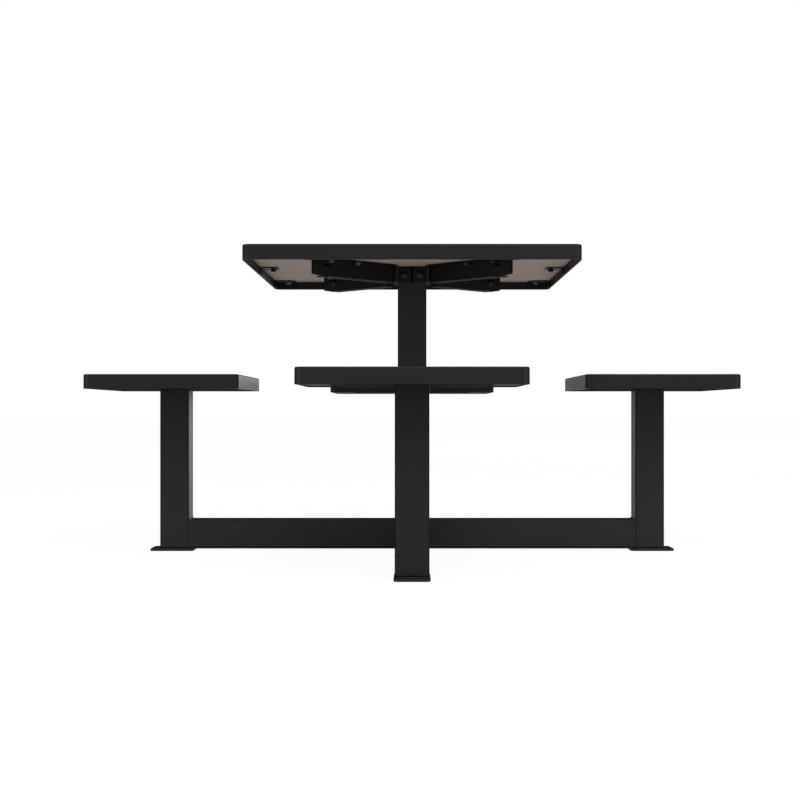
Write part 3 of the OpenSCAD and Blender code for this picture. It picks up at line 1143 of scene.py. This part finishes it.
    def _root_places(self) -> list[Matrix]:
        """Places of the bolts through the root flanges, each with +Z away from the post.

        Returns:
            The places.
        """
        places = []
        for low, high in solids(self.nodes["arm_post_bolts"]):
            middle = (low + high) / 2
            axis = Vector((1, 0, 0) if abs(middle.x) > abs(middle.y) else (0, 1, 0))
            out = axis * math.copysign(1, axis.dot(middle))
            foot = middle - out * middle.dot(out) + out * (TUBE_HALF + self.arms.sheet)
            places.append(Matrix.Translation(foot) @ turned_to(out))
        return places

    def build(self, finishes: Finishes) -> None:
        """Builds every fastener that shows.

        Args:
            finishes: The table's finishes.
        """
        lift = self.flange_t + self.hex_h
        for node, finish in (("arm_board_screws", finishes.part_painted),
                             ("corner_clip_screws", finishes.zinc),
                             ("side_clip_screws", finishes.black)):
            self._spread(node, self.flange_screw(), self._upright(node, lift), finish)
        self._spread("seat_screws", self.sunk_screw(), self._upright("seat_screws", 0.0), finishes.black)
        bolt = self.dome_bolt(self.root_bolt_l)
        self._spread("arm_post_bolts", bolt, self._root_places(), finishes.worn_black)
        half = self.arms.tie_half
        ties = [self.arms.tie_place(corner) for corner in Corner]
        bolt = self.dome_bolt(2 * half + self.nut_t + self.tie_tail)
        heads = [tie @ Matrix.Translation((0, 0, half)) for tie in ties]
        self._spread("arm_tie_bolts", bolt, heads, finishes.black)
        seats = [tie @ Matrix.Translation((0, 0, -half - self.nut_t)) for tie in ties]
        self._spread("arm_tie_nuts", self.nut(), seats, finishes.zinc)


@dataclass(frozen=True)
class Welds:
    """Weld beads of the tube frame, with their ripples, under the same coat.

    A bead swells and thins in slow waves, each given by its height and its pace.
    """

    tube_r: float = 4.0 * MM
    arc_steps: int = 6
    base_t: float = 6.0 * MM
    head_z: float = 420.0 * MM
    bead: float = 2.6 * MM
    foot_bead: float = 2.0 * MM
    sunk: float = 1.6 * MM
    step: float = 1.0 * MM
    ripple: int = 3
    depth: float = 0.16
    waves: tuple[Span, ...] = ((0.08, 0.37), (0.05, 0.91))
    round_steps: int = 2
    open_side: float = 1.0 * MM

    def _outline(self) -> list[Vector]:
        """Outline of a tube in plan, about the origin.

        Returns:
            Its points, once round from the middle of its -X side.
        """
        straight = TUBE_HALF - self.tube_r
        points = [Vector((-TUBE_HALF, 0, 0))]
        for start, centre in ((180, (-1, 1)), (90, (1, 1)), (0, (1, -1)), (-90, (-1, -1))):
            for k in range(self.arc_steps + 1):
                angle = math.radians(start - 90 * k / self.arc_steps)
                points.append(Vector((centre[0] * straight + self.tube_r * math.cos(angle),
                                      centre[1] * straight + self.tube_r * math.sin(angle), 0)))
        return points + [points[0].copy()]

    def _even(self, points: Sequence[Vector]) -> list[Vector]:
        """The same line with evenly spaced points.

        Args:
            points: The line.

        Returns:
            Its new points.
        """
        made = [points[0]]
        left = self.step
        for start, end in zip(points, points[1:]):
            length = (end - start).length
            at = left
            while at <= length:
                made.append(start.lerp(end, at / length))
                at += self.step
            left = at - length
        return made

    def _bead(self, name: str, points: Sequence[Vector], place: Matrix, radius: float,
              finish: Finish) -> None:
        """Lays one bead.

        Args:
            name: The piece's name.
            points: The line that its middle follows.
            place: Where the line goes.
            radius: Radius of the bead.
            finish: Its finish.
        """
        line = self._even([place @ p for p in points])
        curve = bpy.data.curves.new(name, "CURVE")
        curve.dimensions = "3D"
        curve.bevel_depth = radius
        curve.bevel_resolution = self.round_steps
        curve.use_fill_caps = True
        spline = curve.splines.new("POLY")
        spline.points.add(len(line) - 1)
        for count, (point, target) in enumerate(zip(spline.points, line)):
            point.co = (*target, 1.0)
            wave = (count % self.ripple) / (self.ripple - 1)
            wander = sum(height * math.sin(count * pace) for height, pace in self.waves)
            point.radius = 1.0 + self.depth * (0.5 - wave) + wander
        holder = show(f"{name}_line", curve)
        bpy.context.view_layer.update()
        solid = bpy.data.meshes.new_from_object(holder.evaluated_get(bpy.context.evaluated_depsgraph_get()))
        bm = bmesh.new()
        bm.from_mesh(solid)
        bpy.data.objects.remove(holder)
        bpy.data.curves.remove(curve)
        bpy.data.meshes.remove(solid)
        outward(bm)
        add_piece(name, bm, finish)

    def build(self, finish: Finish) -> None:
        """Lays every bead: at both ends of each bar, and at the foot and head of each seat's post.

        Args:
            finish: The beads' finish.
        """
        ring = self._outline()
        three_sides = [p for p in ring if p.x > self.open_side - TUBE_HALF]
        on_end = Matrix.Rotation(math.radians(90), 4, "Y") @ Matrix.Rotation(math.pi, 4, "Z")
        joint = on_end @ Matrix.Diagonal((1.0, (TUBE_HALF - self.sunk) / TUBE_HALF, 1.0, 1.0))
        middle = self.base_t + TUBE_HALF
        beads = (
            ("bar_outer", three_sides, Matrix.Translation((REACH - TUBE_HALF, 0, middle)) @ joint, self.bead),
            ("bar_inner", three_sides, Matrix.Translation((TUBE_HALF, 0, middle)) @ joint, self.bead),
            ("post_foot", three_sides, Matrix.Translation((REACH, 0, self.base_t)), self.foot_bead),
            ("post_head", ring, Matrix.Translation((REACH, 0, self.head_z)), self.bead),
        )
        for side in Side:
            for word, line, place, radius in beads:
                self._bead(f"{side.word}_{word}_weld", line, side.turn @ place, radius, finish)


@dataclass(frozen=True)
class KeptNodes:
    """CAD nodes whose shapes are right: they get softened edges and a finish."""

    nodes: dict[str, bpy.types.Object]
    finishes: Finishes

    def build(self) -> None:
        """Dresses every node that still shows, by the first ending below that fits its name."""
        made = self.finishes
        looks = (
            ("seat_board", made.seat_board, 1.0 * MM),
            ("board", made.board, 1.0 * MM),
            ("nuts", made.zinc, 0.5 * MM),
            ("spacers", made.zinc, 0.4 * MM),
            ("clip", made.arm, 0.5 * MM),
            ("seat_plate", made.under, 0.5 * MM),
            ("base_plate", made.frame, 0.8 * MM),
            # The front post takes the darker copy of the tube coat, which paints the front seat's shade.
            ("front_post", made.front, 0.3 * MM),
            ("", made.frame, 0.3 * MM),
        )
        for name, node in self.nodes.items():
            if node.hide_render:
                continue
            finish, width = next(look[1:] for look in looks if name.endswith(look[0]))
            for place in node.material_slots:
                place.material = finish.material
            soften(node, width)
            LOG.info("node %s: %s", name, finish.material.name)


@dataclass(frozen=True)
class Lamp:
    """Soft square lamp, with its place and width in metres and its power in watts."""

    name: str
    place: Triple
    width: float
    watts: float
    target: Triple = (0.0, 0.0, 0.45)

    def build(self) -> None:
        """Makes the lamp, turned to its target."""
        data = bpy.data.lights.new(self.name, "AREA")
        data.size = self.width
        data.energy = self.watts
        lamp = show(self.name, data)
        lamp.location = self.place
        aim = Vector(self.target) - Vector(self.place)
        lamp.rotation_euler = aim.to_track_quat("-Z", "Y").to_euler()


@dataclass(frozen=True)
class Studio:
    """Plain white studio with soft light, and the photograph's camera."""

    frame_px: float = 800.0
    focal_px: float = 1364.0
    centre_px: float = 412.1
    horizon_px: float = 410.8
    distance: float = 3.594
    height: float = 0.3655
    sensor_mm: float = 36.0
    sight: float = 200.0
    floor_half: float = 60.0
    floor_grey: float = 0.9
    floor_glow: float = 1.05
    floor_share: float = 0.9
    world_light: float = 0.42
    lamps: tuple[Lamp, ...] = (
        Lamp("front_lamp", (1.2, -4.2, 4.2), 3.2, 150.0),
        Lamp("back_right_lamp", (6.0, 12.0, 1.0), 2.0, 440.0),
        Lamp("left_lamp", (-5.4, -2.75, 0.45), 1.5, 45.0),
        Lamp("right_lamp", (5.4, -2.75, 0.45), 1.5, 45.0),
    )

    def camera(self) -> None:
        """Makes the level camera in front of the table."""
        data = bpy.data.cameras.new("camera")
        data.sensor_width = self.sensor_mm
        data.lens = self.focal_px / self.frame_px * self.sensor_mm
        data.shift_x = (self.frame_px / 2 - self.centre_px) / self.frame_px
        data.shift_y = (self.horizon_px - self.frame_px / 2) / self.frame_px
        data.clip_end = self.sight
        camera = show("camera", data)
        camera.location = (0.0, -self.distance, self.height)
        camera.rotation_euler = (math.radians(90), 0.0, 0.0)
        bpy.context.scene.camera = camera

    def _seen(self, shader: Shader) -> Value:
        """Finds the rays that show the background: from the camera, a mirror or glass.

        Args:
            shader: The shader that asks.

        Returns:
            1 for such a ray, else 0.
        """
        path = shader.node("ShaderNodeLightPath")
        direct = shader.out(path, "Is Camera Ray").larger(shader.out(path, "Is Glossy Ray"))
        return direct.larger(shader.out(path, "Is Transmission Ray"))

    def world(self) -> None:
        """Makes the world, which lights softly and is seen white."""
        world = bpy.data.worlds.new("studio")
        bpy.context.scene.world = world
        shader = Shader(world)
        light, white = (
            shader.node("ShaderNodeBackground", {}, {"Color": (1.0, 1.0, 1.0), "Strength": strength})
            for strength in (self.world_light, 1.0))
        shader.close(shader.mix(self._seen(shader), light, white), "ShaderNodeOutputWorld")

    def floor(self) -> None:
        """Makes the pale floor, which keeps the table's shadow."""
        material, shader = new_material("pale_floor")
        matt = shader.node("ShaderNodeBsdfDiffuse", {}, {"Color": (self.floor_grey,) * 3})
        glow = shader.node("ShaderNodeEmission", {}, {"Color": (1.0, 1.0, 1.0), "Strength": self.floor_glow})
        shader.close(shader.mix(self._seen(shader) * self.floor_share, matt, glow))
        bm = bmesh.new()
        bmesh.ops.create_grid(bm, x_segments=1, y_segments=1, size=self.floor_half)
        data = bpy.data.meshes.new("floor")
        bm.to_mesh(data)
        bm.free()
        data.materials.append(material)
        floor = show("floor", data)

    def build(self) -> None:
        """Makes the camera, the world, the floor and the lamps."""
        self.camera()
        self.world()
        self.floor()
        for lamp in self.lamps:
            lamp.build()
        bpy.context.scene.view_settings.view_transform = "Standard"


def main() -> None:
    """Builds the table's looks round its frame."""
    logging.basicConfig(level=logging.INFO, format="%(name)s: %(message)s")
    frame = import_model()
    nodes = frame["nodes"]
    Studio().build()
    finishes = Finishes()
    PressedShell("table_shell", "pressed_table_top").build(finishes.shell)
    for side in Side:
        PressedShell(f"{side.word}_seat_shell", f"pressed_{side.word}_seat").build(finishes.shell)
    arms = Arms()
    arms.build(finishes.arm)
    Fasteners(nodes, arms).build(finishes)
    Welds().build(finishes.weld)
    KeptNodes(nodes, finishes).build()
    bpy.context.view_layer.update()


if __name__ == "__main__":
    main()
